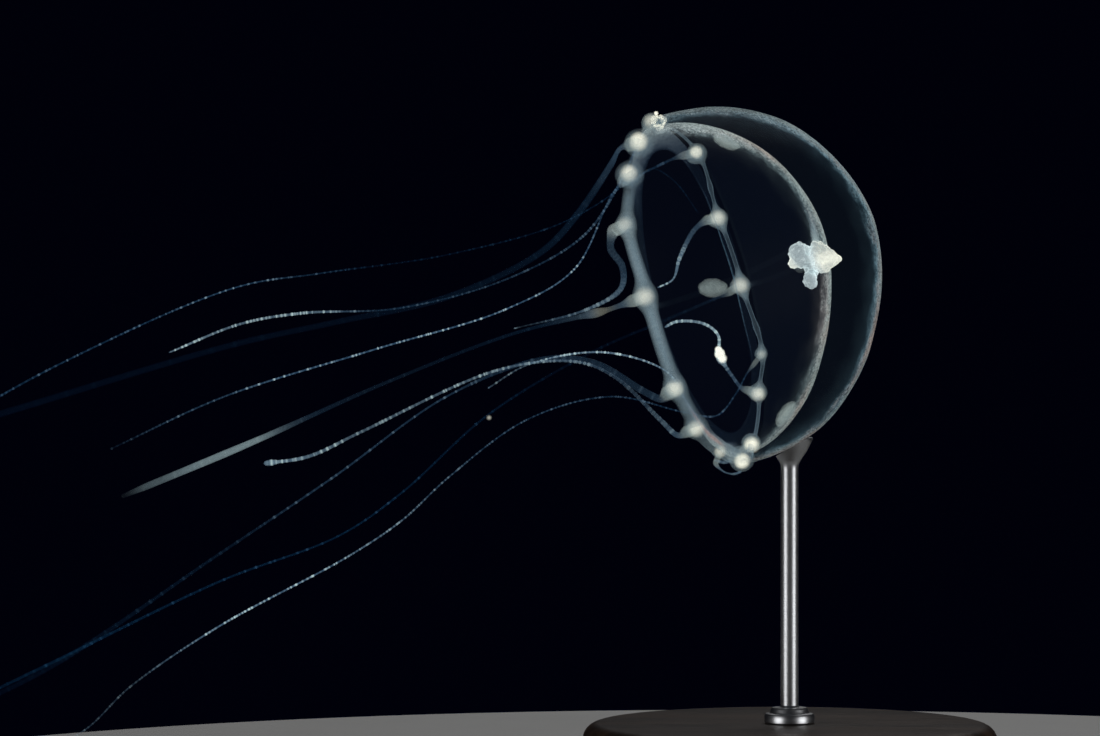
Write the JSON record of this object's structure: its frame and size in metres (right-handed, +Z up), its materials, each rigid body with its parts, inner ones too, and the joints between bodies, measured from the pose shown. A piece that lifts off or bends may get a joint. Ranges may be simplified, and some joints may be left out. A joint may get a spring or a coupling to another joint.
{
  "type": "jellyfish",
  "caption": "Still, life-size small jellyfish of the hydromedusa kind: clear domed bell with a beaded rim, radial canals and long thin trailing tentacles, on a plain display stand.",
  "frame": {"origin": "Centre of the underside of the stand's round base, on the surface that the model stands on.", "axes": "+Z up. The bell's crown points to +X, a little up and a little to the front. The tentacles trail to -X. -Y is the front, from where the bell is seen in side view."},
  "size_m": [0.0598, 0.023, 0.0392],
  "materials": {
    "jelly": "clear, slightly milky",
    "membrane": "thin clear film",
    "tissue": "moist cream white",
    "gonad": "moist grey white",
    "thread": "moist blue white, beaded",
    "dark_wood": "dark stained, satin",
    "steel": "brushed"
  },
  "bodies": {
    "root": {"bell": "jelly", "velum": "membrane", "margin_ring_with_bulbs": "tissue", "radial_canal_top_outer": "tissue", "radial_canal_top_inner": "tissue", "gonad_top": "gonad", "radial_canal_front_outer": "tissue", "radial_canal_front_inner": "tissue", "gonad_front": "gonad", "radial_canal_bottom_outer": "tissue", "radial_canal_bottom_inner": "tissue", "gonad_bottom": "gonad", "radial_canal_back_outer": "tissue", "radial_canal_back_inner": "tissue", "gonad_back": "gonad", "stomach": "tissue", "mouth_lips": "tissue", "tentacle_01_a": "thread", "tentacle_01_b": "thread", "tentacle_02_a": "thread", "tentacle_02_b": "thread", "tentacle_03_a": "thread", "tentacle_04_a": "thread", "tentacle_05_a": "thread", "tentacle_05_b": "thread", "tentacle_06_a": "thread", "tentacle_06_b": "thread", "tentacle_06_c": "thread", "tentacle_07_a": "thread", "tentacle_07_b": "thread", "tentacle_08_a": "thread", "tentacle_09_a": "thread", "tentacle_10_a": "thread", "tentacle_11_a": "thread", "tentacle_12_a": "thread", "tentacle_12_b": "thread", "tentacle_12_c": "thread", "tentacle_13_a": "thread", "tentacle_13_b": "thread", "tentacle_13_c": "thread", "tentacle_14_a": "thread", "tentacle_15_a": "thread", "tentacle_15_b": "thread", "tentacle_16_a": "thread", "tentacle_16_b": "thread", "stand_base": "dark_wood", "stand_rod": "steel"}
  },
  "joints": []
}
